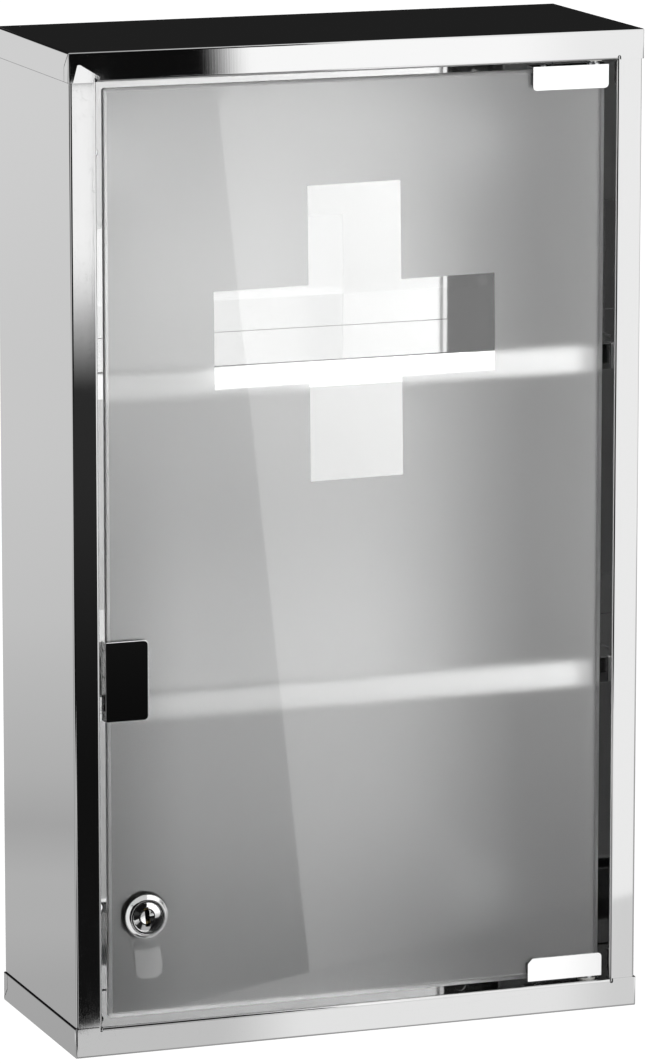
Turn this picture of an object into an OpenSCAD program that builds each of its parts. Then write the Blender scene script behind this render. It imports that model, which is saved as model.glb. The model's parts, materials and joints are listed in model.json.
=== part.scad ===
// Wall cabinet in mirror-polished sheet steel with two fixed shelves and an inset glass door.
// Millimetres, +Z up, -Y the front, +X the viewer's right, where the door is hinged.
// The origin is the centre of the four wall holes, on the outer face of the back panel.

/* [Cabinet] */
// Overall width across the end caps
cab_w = 300; // [260:5:500]
// Overall depth from the wall to the front of the end caps
cab_d = 120; // [100:5:220]
// Overall height
cab_h = 500; // [430:10:800]
// Thickness of the sheet steel
sheet_t = 0.8; // [0.6:0.1:1]
// Outer radius of every fold in the sheet
bend_r = 1.2; // [1.1:0.1:2]
// Visible width of each front flange of the body
flange_w = 13.6; // [10:0.2:20]
// Depth of the lip folded back from each front flange
flange_lip_d = 5; // [3:0.5:7]
// Hole-to-hole distance of the wall holes across
hole_pitch_x = 200; // [100:5:240]
// Hole-to-hole distance of the wall holes in height
hole_pitch_z = 390; // [200:10:400]
// How far the middle of the wall holes, which is the origin, lies below the middle of the cabinet
hole_drop = 10.5; // [0:0.5:15]
// Radius of each wall hole
wall_hole_r = 3; // [2:0.25:5]

/* [End caps] */
// Height of the skirt that slips over the body
cap_skirt_h = 15; // [10:0.5:20]
// Depth of the lip folded back from the cap's front skirt, which carries the pivot bush
cap_lip_d = 20; // [14:1:30]
// Length of the corner tabs that wrap onto each side skirt
tab_l = 7; // [5:0.5:12]
// Width of the seam between a tab and its skirt
seam_w = 0.35; // [0.2:0.05:0.6]
// Radius of the relief notch at each end of the cap's lip
relief_r = 0.9; // [0.5:0.1:1.2]

/* [Shelves] */
// Height of the lower shelf's top face above the cabinet's base
lower_shelf_h = 179; // [150:1:220]
// Distance between the two shelves' top faces
shelf_pitch = 161; // [120:1:170]
// Height of the shelf's skirts
shelf_skirt_h = 13.5; // [8:0.5:20]
// Distance of the shelf's front edge behind the front of the cabinet
shelf_setback = 20; // [13:0.5:40]
// Side clearance of a shelf inside the body
shelf_fit = 0.1; // [0:0.05:0.3]

/* [Glass door] */
// Thickness of the glass
glass_t = 4; // [3:0.5:5]
// Distance of the glass behind the front of the cabinet
door_inset = 5; // [4:0.5:7]
// Gap between the glass and each side flange
door_gap_side = 4.8; // [3.5:0.1:6]
// Gap between the glass and each end cap
door_gap_end = 3.4; // [3:0.1:5]
// How far the hung door sits below the middle of its opening
door_drop = 0.4; // [0:0.1:0.6]
// Width of the ground bevel round the glass
bevel_w = 1.8; // [0.5:0.1:3]
// Depth of the ground bevel
bevel_d = 0.7; // [0.3:0.1:1.2]
// Corner radius of the glass
glass_corner_r = 1.5; // [0.5:0.5:5]
// Thickness of the frosted layer behind the glass
frost_t = 0.2; // [0.1:0.05:0.3]
// Thickness of the clear bond between the glass and the frosted layer
frost_gap = 0.05; // [0.02:0.01:0.1]
// Overall length of the cross left clear in the frosting
cross_span = 147.5; // [90:0.5:180]
// Width of each arm of the cross
cross_arm = 48.8; // [20:0.2:80]
// Distance of the cross's centre below the top edge of the glass
cross_drop = 125.9; // [100:0.1:180]
// How far the cross is turned in the plane of the glass
cross_tilt = 0.7; // [0:0.1:5]

/* [Pivot hinges] */
// Length of each hinge clip along the glass edge
clip_l = 40.2; // [30:0.2:60]
// Height of each hinge clip
clip_h = 11.8; // [9:0.2:20]
// Thickness of the clip's front plate
clip_front_t = 1.2; // [0.8:0.1:2]
// Thickness of the clip's rear plate, which holds the grub screws
clip_rear_t = 2.4; // [2:0.1:4]
// Thickness of the clip's web under the glass edge
clip_web_t = 0.8; // [0.6:0.1:1]
// How far the clip reaches past the side of the glass
clip_over = 1.5; // [1:0.1:2]
// Radius of the clip's two corners that lie on the glass
clip_corner_r = 2; // [0.5:0.1:3]
// Leg of the corner cut off the lower clip's inner end
clip_cut = 2.5; // [2:0.1:3.5]
// Thickness of the soft liner in the clip
liner_t = 0.6; // [0.4:0.1:0.8]
// Radius of the pivot pin
pin_r = 2; // [1.5:0.1:2.5]
// Running clearance of a pin or a barrel in its bore, on the radius
run_fit = 0.05; // [0.02:0.01:0.1]
// Distance of the pivot from the clip's outer end
pin_end_d = 6.9; // [5:0.1:9]
// Wall thickness of the pivot bush
bush_wall = 1; // [0.8:0.1:1.5]
// Thickness of the bush's flange
bush_flange_t = 0.6; // [0.4:0.1:0.8]
// Length of the bush behind the lip
bush_l = 3.2; // [2:0.2:5]
// Thread radius of the clip's grub screws
grub_r = 1.95; // [1.5:0.05:2.2]
// Distance between a clip's two grub screws
grub_pitch = 18; // [12:1:24]
// Distance of the liner's rivet from the clip's inner end
rivet_end_d = 6.4; // [4:0.2:8]

/* [Push plate and catch] */
// Width of the push plate on the glass
push_w = 22.2; // [18:0.2:35]
// Height of the push plate
push_h = 40.3; // [25:0.1:60]
// Thickness of the push plate's sheet
push_t = 1; // [0.8:0.1:1.4]
// Radius of the push plate's corners on the glass
push_corner_r = 2.5; // [1:0.5:5]
// Height of the catch's axis above the lower shelf
catch_axis_h = 9.2; // [8.6:0.1:12]
// Width of the catch housing
catch_w = 15; // [13:0.5:18]
// Length of the catch housing
catch_l = 46; // [40:1:52]
// How far each ear of the catch reaches past its housing
catch_ear_l = 9.5; // [8:0.5:12]
// Thickness of the catch's ears
catch_ear_t = 2.2; // [1.5:0.1:3]
// Radius of the plunger
plunger_r = 3.5; // [2.5:0.1:4]
// Radius of the plunger's head
plunger_head_r = 5; // [4.5:0.1:6]
// Travel of the plunger
plunger_travel = 10; // [6:1:12]
// Radius of the magnet
magnet_r = 3.9; // [3:0.1:4]
// Air gap between the magnet and the strike when the door is shut
magnet_gap = 0.2; // [0.1:0.05:0.4]

/* [Cam lock] */
// Distance of the lock's axis from the side of the glass
lock_edge_d = 19.5; // [16:0.5:30]
// Distance of the lock's axis above the lower edge of the glass
lock_up_d = 50.5; // [30:0.5:80]
// Radius of the lock's bezel on the glass
bezel_r = 11.2; // [10.4:0.1:13]
// How far the bezel stands in front of the glass
bezel_h = 3.2; // [2.5:0.1:3.8]
// Radius of the threaded barrel
barrel_r = 8.9; // [8.4:0.1:9.5]
// Distance across the barrel's two flats
barrel_flats = 16; // [15:0.5:16.5]
// Radius of the dished face of the plug
plug_face_r = 8.3; // [7:0.1:8.4]
// Radius of the plug inside the barrel
plug_r = 6; // [5:0.1:6.5]
// Radial clearance of the plug's face in the bezel
plug_face_fit = 0.25; // [0.1:0.05:0.4]
// Height of the keyway
keyway_h = 9.8; // [7:0.1:11]
// Width of the keyway
keyway_w = 2.4; // [1.5:0.1:3]
// How far the plug is turned out of upright with the door unlocked
key_tilt = 5.5; // [0:0.5:10]
// Distance across the flats of the lock's nut
nut_af = 22; // [20:0.5:24]
// Thickness of the lock's nut
nut_t = 4; // [2.5:0.5:5]
// Length of the cam from the lock's axis
cam_l = 33; // [30:0.5:34]
// Width of the cam
cam_w = 14; // [11:0.5:16]
// Thickness of the cam
cam_t = 1.6; // [1.2:0.1:2.5]
// Gap between the cam's tip and the lip that it locks behind
cam_lip_gap = 4; // [3:0.5:6]

/* [Hidden] */

fine = 48;          // facets shown on small round parts
eps = 0.01;         // overshoot of a cut past the face it opens

// Planes of the cabinet
half_w = cab_w / 2;
half_h = cab_h / 2;
front_y = -(cab_d - sheet_t);
body_x = half_w - sheet_t;
body_front_y = front_y + sheet_t;
wall_in_x = body_x - sheet_t;
open_x = body_x - flange_w;
open_z = half_h - cap_skirt_h;
flange_lip_y = body_front_y + flange_lip_d;
fold_in_r = bend_r - sheet_t;

// Shelves
lower_shelf_z = lower_shelf_h - half_h;
upper_shelf_z = lower_shelf_z + shelf_pitch;

// Door
glass_front_y = front_y + door_inset;
glass_rear_y = glass_front_y + glass_t;
glass_mid_y = (glass_front_y + glass_rear_y) / 2;
frost_front_y = glass_rear_y + frost_gap;
frost_rear_y = frost_front_y + frost_t;
glass_x = open_x - door_gap_side;
glass_half_h = open_z - door_gap_end;
glass_top_z = glass_half_h - door_drop;
glass_low_z = -glass_half_h - door_drop;
cross_z = glass_top_z - cross_drop;

// Hinge clips
clip_out_x = glass_x + clip_over;
clip_in_x = clip_out_x - clip_l;
clip_mid_x = (clip_out_x + clip_in_x) / 2;
clip_side_gap = 0.1;
clip_front_y = glass_front_y - clip_front_t;
liner_rear_y = frost_rear_y + liner_t;
clip_rear_y = liner_rear_y + clip_rear_t;
clip_end = liner_t + clip_web_t;
liner_up = max(clip_corner_r, clip_cut);
pin_x = clip_out_x - pin_end_d;
pin_y = glass_mid_y;
pin_tip = 0.5;
collar_w = 1.3;
top_collar_h = 0.8;
bush_r = pin_r + run_fit + bush_wall;
bush_flange_r = bush_r + 1.3;
bush_hole_fit = 0.05;
thrust_fit = 0.05;
grub_len = clip_rear_t - 0.2;
grub_fit = 0.05;
grub_hex_r = 1.1;
grub_hex_d = 1.4;
grub_up = (clip_h - clip_end) / 2;
rivet_r = 0.9;
rivet_head_r = 1.7;
rivet_head_h = 0.9;

// Push plate
push_x = -glass_x - push_t;
push_mid_x = push_x + push_w / 2;
push_front_y = glass_front_y - push_t;
pad_t = 0.6;
strike_y = frost_rear_y + pad_t;
strike_rear_y = strike_y + push_t;
pad_inset = 1.5;

// Catch
catch_z = lower_shelf_z + catch_axis_h;
magnet_front_y = strike_rear_y + magnet_gap;
magnet_t = 2.5;
magnet_proud = 0.2;
head_front_y = magnet_front_y + magnet_proud;
head_l = 5.5;
head_rear_y = head_front_y + head_l;
head_gap = 0.5;
catch_front_y = head_rear_y + head_gap;
catch_rear_y = catch_front_y + catch_l;
catch_top = 7.8;
catch_rear_wall = 2.2;
plunger_l = 34;
plunger_rear_y = head_rear_y + plunger_l;
spring_rear_y = catch_rear_y - catch_rear_wall;
spring_wire_r = 0.35;
spring_r = plunger_r - 0.9;
spring_turns = 6;
spring_steps = 16;
spring_sides = 6;
ear_depth = 14;
ear_mid_y = (catch_front_y + catch_rear_y) / 2;
ear_hole_x = catch_w / 2 + catch_ear_l / 2;
catch_screw_r = 1.45;
catch_screw_head_r = 2.7;
catch_screw_head_h = 1.6;
catch_screw_l = 6.5;
catch_screw_fit = 0.1;

// Lock
lock_x = -glass_x + lock_edge_d;
lock_z = glass_low_z + lock_up_d;
gasket_t = 0.5;
bezel_rim_r = plug_face_r + plug_face_fit + 0.6;
bezel_step = 0.8;
washer_t = 1;
washer_r = bezel_r + 1;
glass_hole_fit = 0.3;
bezel_rear_y = glass_front_y - gasket_t;
bezel_front_y = bezel_rear_y - bezel_h + gasket_t;
washer_rear_y = frost_rear_y + washer_t;
nut_rear_y = washer_rear_y + nut_t;
barrel_rear_y = nut_rear_y + 0.6;
plug_face_y = bezel_front_y + 0.25;
plug_seat_d = 2.2;
plug_dish_d = 1.5;
plug_boss_r = 3.5;
plug_rim_w = 0.7;
keyway_d = 12;
cam_front_y = barrel_rear_y + 0.1;
cam_tip_y = max(flange_lip_y + cam_lip_gap, frost_rear_y + 0.6);
cam_step = cam_front_y - cam_tip_y;
cam_root_l = nut_af / sqrt(3) + 1.6;
cam_ramp_l = 3.5;
tang_a = 7;
tang_fit = 0.05;
tang_l = cam_t + 0.1;
cam_screw_r = 1.95;
cam_screw_fit = 0.05;
cam_screw_head_r = 4.2;
cam_screw_head_h = 1.8;
cam_screw_l = 8;

steel = [0.80, 0.81, 0.82];
chrome = [0.72, 0.73, 0.75];
dark_chrome = [0.30, 0.30, 0.32];
glass_tint = [0.78, 0.86, 0.84, 0.35];
frost = [0.86, 0.88, 0.88, 0.8];
nylon = [0.93, 0.93, 0.90];
soft = [0.55, 0.55, 0.55];
white_plastic = [0.90, 0.90, 0.88];

// Flat shapes

// Quarter of a folded strip, about its centre, towards the signs given
module fold(at, sx, sy) {
    translate(at)
        intersection() {
            difference() {
                circle(r = bend_r, $fn = fine);
                circle(r = fold_in_r, $fn = fine);
            }
            translate([sx > 0 ? 0 : -bend_r, sy > 0 ? 0 : -bend_r])
                square(bend_r);
        }
}

// Rectangle from the origin with its two far corners rounded
module arch_rect(w, h, r) {
    translate([r, 0])
        square([w - 2 * r, h]);
    square([w, h - r]);
    for (x = [r, w - r])
        translate([x, h - r])
            circle(r = r, $fn = fine);
}

// Rectangle about the origin with all four corners rounded
module round_rect(w, h, r) {
    square([w - 2 * r, h], center = true);
    square([w, h - 2 * r], center = true);
    for (x = [r - w / 2, w / 2 - r])
        for (y = [r - h / 2, h / 2 - r])
            translate([x, y])
                circle(r = r, $fn = fine);
}

// Rectangle about the origin with its corners cut off, by cut_x along and cut_y across
module chamfer_rect(w, h, cut_x, cut_y) {
    polygon([
        [-w / 2 + cut_x, -h / 2], [w / 2 - cut_x, -h / 2],
        [w / 2, -h / 2 + cut_y], [w / 2, h / 2 - cut_y],
        [w / 2 - cut_x, h / 2], [-w / 2 + cut_x, h / 2],
        [-w / 2, h / 2 - cut_y], [-w / 2, -h / 2 + cut_y]
    ]);
}

// Turning tools

// A flat shape drawn in X and Z, stretched from one Y to another
module across_y(y0, y1) {
    translate([0, y1, 0])
        rotate([90, 0, 0])
            linear_extrude(height = y1 - y0)
                children();
}

// A round part on a line along Y: its profile has X as radius and Y as distance to the rear
module turned_y(at) {
    translate(at)
        rotate([-90, 0, 0])
            rotate_extrude($fn = fine)
                children();
}

module bore_y(at, r, l) {
    translate(at)
        rotate([-90, 0, 0])
            cylinder(r = r, h = l, $fn = fine);
}

// Folded trays, used for the caps and the shelves

// Solid with its plate at z = 0 and its skirts reaching down, every fold rounded
module tray_block(w, y0, y1, h, r) {
    d = y1 - y0;
    mid = (y0 + y1) / 2;
    intersection() {
        across_y(y0, y1)
            translate([-w / 2, -h])
                arch_rect(w, h, r);
        translate([-w / 2, y0, -h])
            rotate([90, 0, 90])
                linear_extrude(height = w)
                    arch_rect(d, h, r);
        translate([0, mid, -h])
            linear_extrude(height = h)
                round_rect(w, d, r);
    }
}

module tray(w, y0, y1, h) {
    difference() {
        tray_block(w, y0, y1, h, bend_r);
        translate([0, 0, -sheet_t])
            tray_block(w - 2 * sheet_t, y0 + sheet_t, y1 - sheet_t, h, fold_in_r);
    }
}

// Body

module wrap_half() {
    translate([0, -sheet_t])
        square([body_x - bend_r, sheet_t]);
    fold([body_x - bend_r, -bend_r], 1, 1);
    translate([body_x - sheet_t, body_front_y + bend_r])
        square([sheet_t, -body_front_y - 2 * bend_r]);
    fold([body_x - bend_r, body_front_y + bend_r], 1, -1);
    translate([open_x + bend_r, body_front_y])
        square([flange_w - 2 * bend_r, sheet_t]);
    fold([open_x + bend_r, body_front_y + bend_r], -1, -1);
    translate([open_x, body_front_y + bend_r])
        square([sheet_t, flange_lip_d - bend_r]);
}

// Back, sides, front flanges and lips are one folded sheet
module body_wrap() {
    color(steel)
        difference() {
            translate([0, 0, bend_r - half_h])
                linear_extrude(height = cab_h - 2 * bend_r) {
                    wrap_half();
                    mirror([1, 0])
                        wrap_half();
                }
            for (x = [-1, 1])
                for (z = [-1, 1])
                    bore_y([x * hole_pitch_x / 2, -sheet_t - 1, z * hole_pitch_z / 2 - hole_drop],
                        wall_hole_r, sheet_t + 2);
        }
}

// Seam between a tab and the side skirt, drawn as distance from the corner and Z, plate at z = 0
module tab_seam() {
    knee = -cap_skirt_h / 2;
    polygon([
        [-tab_l, -cap_skirt_h - 1], [-tab_l, knee], [-bend_r, -bend_r],
        [-bend_r + seam_w, -bend_r - seam_w], [-tab_l + seam_w, knee - seam_w],
        [-tab_l + seam_w, -cap_skirt_h - 1]
    ]);
}

module seam_cuts() {
    for (side = [-1, 1])
        translate([side * (half_w - sheet_t / 2) - sheet_t, 0, 0])
            rotate([90, 0, 90])
                linear_extrude(height = 2 * sheet_t)
                    children();
}

// Lip folded back under the front skirt between the flange lips, with the bush's hole
module cap_lip() {
    lip_x = open_x - 0.1;
    difference() {
        translate([-lip_x, 0, 0])
            rotate([90, 0, 90])
                linear_extrude(height = 2 * lip_x) {
                    fold([front_y + bend_r, -cap_skirt_h + bend_r], -1, -1);
                    translate([front_y + bend_r, -cap_skirt_h])
                        square([cap_lip_d - bend_r, sheet_t]);
                }
        translate([pin_x, pin_y, -cap_skirt_h - 1])
            cylinder(r = bush_r + bush_hole_fit, h = sheet_t + 2, $fn = fine);
    }
}

// Cap with its plate at z = 0 and its skirts down: a folded tray slipped over the body's end
module cap(front_seams) {
    notch_x = open_x - 0.1 + relief_r;
    difference() {
        tray(cab_w, front_y, sheet_t, cap_skirt_h);
        translate([-open_x + 0.1, front_y - 1, -cap_skirt_h - 1])
            cube([2 * open_x - 0.2, sheet_t + 1 + eps, bend_r + 1]);
        for (side = [-1, 1])
            across_y_notch(side * notch_x);
        seam_cuts()
            translate([sheet_t, 0])
                tab_seam();
        if (front_seams)
            seam_cuts()
                translate([front_y, 0])
                    mirror([1, 0])
                        tab_seam();
    }
    cap_lip();
}

// Round-ended notch in the front skirt's free edge
module across_y_notch(x) {
    across_y(front_y - 1, front_y + sheet_t + eps)
        translate([x, -cap_skirt_h]) {
            translate([0, relief_r * 1.4])
                circle(r = relief_r, $fn = fine);
            translate([-relief_r, -1])
                square([2 * relief_r, 1 + relief_r * 1.4]);
        }
}

module top_cap() {
    color(steel)
        translate([0, 0, half_h])
            cap(true);
}

module bottom_cap() {
    color(steel)
        mirror([0, 0, 1])
            translate([0, 0, half_h])
                cap(false);
}

module shelf() {
    tray(2 * (wall_in_x - shelf_fit), front_y + shelf_setback, -sheet_t - shelf_fit, shelf_skirt_h);
}

module upper_shelf() {
    color(steel)
        translate([0, 0, upper_shelf_z])
            shelf();
}

module lower_shelf() {
    color(steel)
        difference() {
            translate([0, 0, lower_shelf_z])
                shelf();
            for (side = [-1, 1])
                translate([push_mid_x + side * ear_hole_x, ear_mid_y, lower_shelf_z - sheet_t - 1])
                    cylinder(r = catch_screw_r, h = sheet_t + 2, $fn = fine);
        }
}

// Glass

module glass_pane() {
    w = 2 * glass_x;
    h = 2 * glass_half_h;
    color(glass_tint)
        difference() {
            translate([0, glass_mid_y, -door_drop])
                intersection() {
                    rotate([90, 0, 0])
                        linear_extrude(height = glass_t, center = true)
                            round_rect(w, h, glass_corner_r);
                    linear_extrude(height = h, center = true)
                        chamfer_rect(w, glass_t, bevel_w, bevel_d);
                    rotate([90, 0, 90])
                        linear_extrude(height = w, center = true)
                            chamfer_rect_side(h);
                }
            bore_y([lock_x, glass_front_y - 1, lock_z], barrel_r + glass_hole_fit, glass_t + 2);
        }
}

module chamfer_rect_side(h) {
    rotate(90)
        chamfer_rect(h, glass_t, bevel_w, bevel_d);
}

module cross_shape() {
    rotate(cross_tilt)
        union() {
            square([cross_span, cross_arm], center = true);
            square([cross_arm, cross_span], center = true);
        }
}

// Frosting on the rear of the glass, with the cross and the lock's hole left out
module frost_layer() {
    color(frost)
        across_y(frost_front_y, frost_rear_y)
            difference() {
                translate([0, -door_drop])
                    square([2 * (glass_x - bevel_w), 2 * (glass_half_h - bevel_w)], center = true);
                translate([0, cross_z])
                    cross_shape();
                translate([lock_x, lock_z])
                    circle(r = barrel_r + glass_hole_fit, $fn = fine);
            }
}

// Hinge clips. Each is drawn as the top one, with the glass edge at z = 0 and the glass below

module clip_outline(cut) {
    translate([clip_in_x, clip_end])
        mirror([0, 1])
            difference() {
                arch_rect(clip_l, clip_h, clip_corner_r);
                if (cut > 0)
                    polygon([[-1, clip_h - cut - 1], [-1, clip_h + 1], [cut + 1, clip_h + 1]]);
            }
}

module hinge_clip(cut) {
    color(chrome)
        difference() {
            across_y(clip_front_y, clip_rear_y)
                clip_outline(cut);
            translate([clip_in_x - 1, glass_front_y, -clip_h])
                cube([clip_l - clip_over + clip_side_gap + 1, liner_rear_y - glass_front_y,
                    clip_h + liner_t]);
            for (side = [-1, 1])
                bore_y([clip_mid_x + side * grub_pitch / 2, liner_rear_y - 1, -grub_up],
                    grub_r + grub_fit, clip_rear_t + 2);
            translate([pin_x, pin_y, 0])
                cylinder(r = pin_r, h = clip_end + 1, $fn = fine);
            translate([clip_in_x + rivet_end_d, pin_y, 0])
                cylinder(r = rivet_r, h = clip_end + 1, $fn = fine);
        }
}

// Soft strip round the glass edge: behind the glass and over its edge
module clip_liner() {
    l = clip_l - clip_over;
    color(soft)
        difference() {
            union() {
                translate([clip_in_x, frost_rear_y, -clip_h + clip_end + liner_up])
                    cube([l, liner_t, clip_h - clip_end - liner_up + liner_t]);
                translate([clip_in_x, glass_front_y, 0])
                    cube([l, frost_rear_y - glass_front_y, liner_t]);
            }
            translate([clip_in_x + rivet_end_d, pin_y, -1])
                cylinder(r = rivet_r, h = liner_t + 2, $fn = fine);
        }
}

module grub_screws() {
    color(dark_chrome)
        for (side = [-1, 1])
            difference() {
                bore_y([clip_mid_x + side * grub_pitch / 2, liner_rear_y, -grub_up], grub_r, grub_len);
                translate([clip_mid_x + side * grub_pitch / 2,
                    liner_rear_y + grub_len - grub_hex_d, -grub_up])
                    rotate([-90, 0, 0])
                        cylinder(r = grub_hex_r, h = grub_hex_d + 1, $fn = 6);
            }
}

// Pin pressed into the web and riveted flush inside it, with a collar on the web, tip chamfered
module pivot_pin(to_bush, collar_h) {
    tip_z = clip_end + to_bush + bush_flange_t + sheet_t + bush_l + pin_tip;
    color(chrome)
        translate([pin_x, pin_y, 0])
            rotate_extrude($fn = fine)
                polygon([
                    [0, liner_t], [pin_r, liner_t], [pin_r, clip_end],
                    [pin_r + collar_w, clip_end], [pin_r + collar_w, clip_end + collar_h],
                    [pin_r, clip_end + collar_h], [pin_r, tip_z - pin_tip],
                    [pin_r - pin_tip, tip_z], [0, tip_z]
                ]);
}

// Flanged bush pressed into the cap's lip, drawn with the lip's outer face at z = 0
module pivot_bush() {
    color(nylon)
        translate([pin_x, pin_y, 0])
            rotate_extrude($fn = fine)
                polygon([
                    [pin_r + run_fit, -bush_flange_t], [bush_flange_r, -bush_flange_t],
                    [bush_flange_r, 0], [bush_r, 0],
                    [bush_r, sheet_t + bush_l], [pin_r + run_fit, sheet_t + bush_l]
                ]);
}

module liner_rivet() {
    color(chrome)
        translate([clip_in_x + rivet_end_d, pin_y, 0])
            rotate_extrude($fn = fine)
                polygon(concat(
                    [[0, 0.05], [rivet_r, 0.05], [rivet_r, clip_end], [rivet_head_r, clip_end]],
                    [for (a = [15 : 15 : 90])
                        [rivet_head_r * cos(a), clip_end + rivet_head_h * sin(a)]]
                ));
}

module at_top_edge() {
    translate([0, 0, glass_top_z])
        children();
}

module at_low_edge() {
    translate([0, 0, glass_low_z])
        mirror([0, 0, 1])
            children();
}

top_gap = open_z - glass_top_z - clip_end - bush_flange_t;
low_gap = glass_low_z + open_z - clip_end - bush_flange_t;

module top_hinge_clip() { at_top_edge() hinge_clip(0); }
module top_clip_liner() { at_top_edge() clip_liner(); }
module top_grub_screws() { at_top_edge() grub_screws(); }
module top_pivot_pin() { at_top_edge() pivot_pin(top_gap, top_collar_h); }
module top_liner_rivet() { at_top_edge() liner_rivet(); }
module bottom_hinge_clip() { at_low_edge() hinge_clip(clip_cut); }
module bottom_clip_liner() { at_low_edge() clip_liner(); }
module bottom_grub_screws() { at_low_edge() grub_screws(); }
module bottom_pivot_pin() { at_low_edge() pivot_pin(low_gap, low_gap - thrust_fit); }
module bottom_liner_rivet() { at_low_edge() liner_rivet(); }

module top_pivot_bush() {
    translate([0, 0, open_z])
        pivot_bush();
}

module bottom_pivot_bush() {
    mirror([0, 0, 1])
        translate([0, 0, open_z])
            pivot_bush();
}

// Push plate: a sheet folded round the edge of the glass; its rear leaf is the magnet's strike

module push_leaf(y0, y1) {
    across_y(y0, y1)
        translate([push_x, catch_z + push_h / 2])
            rotate(-90)
                arch_rect(push_h, push_w, push_corner_r);
}

module push_plate() {
    color(chrome) {
        push_leaf(push_front_y, glass_front_y);
        push_leaf(strike_y, strike_rear_y);
        translate([push_x, glass_front_y - eps, catch_z - push_h / 2])
            cube([push_t, strike_y - glass_front_y + 2 * eps, push_h]);
    }
}

module push_plate_pad() {
    color(soft)
        translate([-glass_x + bevel_w, frost_rear_y, catch_z - push_h / 2 + pad_inset])
            cube([push_w - push_t - bevel_w - pad_inset, pad_t, push_h - 2 * pad_inset]);
}

// Touch catch on the lower shelf

module catch_housing() {
    color(white_plastic)
        difference() {
            union() {
                across_y(catch_front_y, catch_rear_y)
                    translate([push_mid_x - catch_w / 2, lower_shelf_z])
                        arch_rect(catch_w, catch_axis_h + catch_top, 2.5);
                translate([push_mid_x, ear_mid_y, lower_shelf_z])
                    linear_extrude(height = catch_ear_t)
                        round_rect(catch_w + 2 * catch_ear_l, ear_depth, 3);
            }
            bore_y([push_mid_x, catch_front_y - 1, catch_z],
                plunger_r + run_fit, spring_rear_y - catch_front_y + 1);
            for (side = [-1, 1])
                translate([push_mid_x + side * ear_hole_x, ear_mid_y, lower_shelf_z - 1])
                    cylinder(r = catch_screw_r + catch_screw_fit, h = catch_ear_t + 2, $fn = fine);
        }
}

// The spring's centre line at step i, in X, Y and Z, with Y from the plunger to the rear
spring_room = spring_rear_y - plunger_rear_y;
spring_start = spring_wire_r + 0.05;
spring_pitch = (spring_room - 2 * spring_start) / spring_turns;
spring_rings = spring_turns * spring_steps;
function spring_point(i) =
    let (a = 360 * i / spring_steps)
    [spring_r * cos(a), spring_start + spring_pitch * i / spring_steps, spring_r * sin(a)];

// Points of one ring of the spring's wire, round the centre line at step i
function spring_ring(i) = [
    for (k = [0 : spring_sides - 1])
        let (
            a = 360 * i / spring_steps,
            t = 360 * k / spring_sides,
            r = spring_r + spring_wire_r * cos(t)
        )
        [r * cos(a), spring_point(i)[1] + spring_wire_r * sin(t), r * sin(a)]
];

// Least gap of the spring to itself, measured on points more than half a turn apart
spring_gap = min([
    for (i = [0 : spring_rings - spring_steps / 2])
        for (j = [i + spring_steps / 2 : spring_rings])
            norm(spring_point(i) - spring_point(j))
]) - 2 * spring_wire_r;

module catch_spring() {
    points = [
        for (i = [0 : spring_rings])
            each spring_ring(i)
    ];
    sides = [
        for (i = [0 : spring_rings - 1])
            for (k = [0 : spring_sides - 1])
                let (
                    a = i * spring_sides + k,
                    b = i * spring_sides + (k + 1) % spring_sides
                )
                each [[a, b, b + spring_sides], [a, b + spring_sides, a + spring_sides]]
    ];
    ends = [
        [for (k = [spring_sides - 1 : -1 : 0]) k],
        [for (k = [0 : spring_sides - 1]) spring_rings * spring_sides + k]
    ];
    echo(spring_least_gap_mm = spring_gap);
    color(steel)
        translate([push_mid_x, plunger_rear_y, catch_z])
            polyhedron(points = points, faces = concat(sides, ends));
}

module catch_screws() {
    color(chrome)
        for (side = [-1, 1])
            translate([push_mid_x + side * ear_hole_x, ear_mid_y, lower_shelf_z + catch_ear_t])
                difference() {
                    rotate_extrude($fn = fine)
                        polygon([
                            [0, -catch_screw_l], [catch_screw_r, 1.5 - catch_screw_l], [catch_screw_r, 0],
                            [catch_screw_head_r, 0], [catch_screw_head_r, catch_screw_head_h * 0.4],
                            [catch_screw_head_r * 0.6, catch_screw_head_h], [0, catch_screw_head_h]
                        ]);
                    for (a = [0, 90])
                        rotate(a)
                            translate([-1.4, -0.35, catch_screw_head_h - 1])
                                cube([2.8, 0.7, 2]);
                }
}

module catch_plunger() {
    color(white_plastic)
        difference() {
            union() {
                bore_y([push_mid_x, head_front_y, catch_z], plunger_head_r, head_l);
                bore_y([push_mid_x, head_rear_y - eps, catch_z], plunger_r, plunger_l + eps);
            }
            bore_y([push_mid_x, head_front_y - 1, catch_z], magnet_r, magnet_t - magnet_proud + 1);
        }
}

module catch_magnet() {
    color(dark_chrome)
        turned_y([push_mid_x, magnet_front_y, catch_z])
            polygon([
                [0, 0], [magnet_r - 0.3, 0], [magnet_r, 0.3], [magnet_r, magnet_t], [0, magnet_t]
            ]);
}

// Cam lock

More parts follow.
